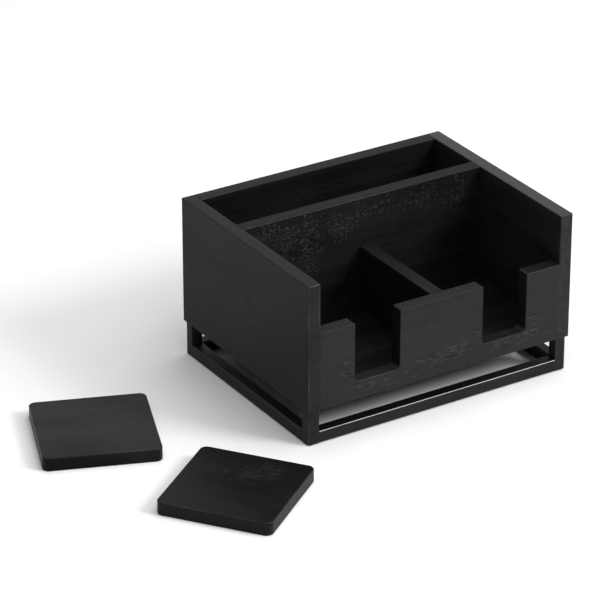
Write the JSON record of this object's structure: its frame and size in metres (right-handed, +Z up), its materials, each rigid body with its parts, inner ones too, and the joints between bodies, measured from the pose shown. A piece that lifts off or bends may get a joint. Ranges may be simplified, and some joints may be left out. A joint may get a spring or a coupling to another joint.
{
  "type": "desk organizer",
  "caption": "Open black wood desk organizer with a full-width rear compartment, square front compartments behind a notched wall, a low leg frame and loose square coasters.",
  "frame": {"origin": "middle of the set's footprint (box and both coasters) on the table top", "axes": "+X to the organizer's right, +Y towards its back, +Z up"},
  "size_m": [0.4686, 0.308, 0.1485],
  "materials": {
    "box_wood": "black stained open-pore wood, satin clear coat",
    "leg_frame_wood": "black stained wood, satin clear coat",
    "coaster_wood": "black stained open-pore wood, satin clear coat",
    "dowel_beech": "bare beech",
    "foot_pad_felt": "pressed black felt"
  },
  "bodies": {
    "organizer": {"back_panel": "box_wood", "back_panel_dowels": "dowel_beech", "centre_divider": "box_wood", "centre_divider_dowels": "dowel_beech", "cross_divider": "box_wood", "cross_divider_dowels": "dowel_beech", "floor_board": "box_wood", "floor_dowels": "dowel_beech", "front_left_foot_pad": "foot_pad_felt", "front_left_post": "leg_frame_wood", "front_rail": "leg_frame_wood", "front_right_foot_pad": "foot_pad_felt", "front_right_post": "leg_frame_wood", "front_wall": "box_wood", "front_wall_dowels": "dowel_beech", "left_rail": "leg_frame_wood", "left_side_panel": "box_wood", "post_dowels": "dowel_beech", "rail_dowels": "dowel_beech", "rear_left_foot_pad": "foot_pad_felt", "rear_left_post": "leg_frame_wood", "rear_rail": "leg_frame_wood", "rear_right_foot_pad": "foot_pad_felt", "rear_right_post": "leg_frame_wood", "right_rail": "leg_frame_wood", "right_side_panel": "box_wood"},
    "rear_coaster_body": {"rear_coaster": "coaster_wood"},
    "front_coaster_body": {"front_coaster": "coaster_wood"}
  },
  "joints": [
    {"name": "rear_coaster_lift", "type": "slide", "parent": "organizer", "child": "rear_coaster_body", "axis": [0, 0, 1], "range_m": [0, 0.15]},
    {"name": "front_coaster_lift", "type": "slide", "parent": "organizer", "child": "front_coaster_body", "axis": [0, 0, 1], "range_m": [0, 0.15]}
  ]
}
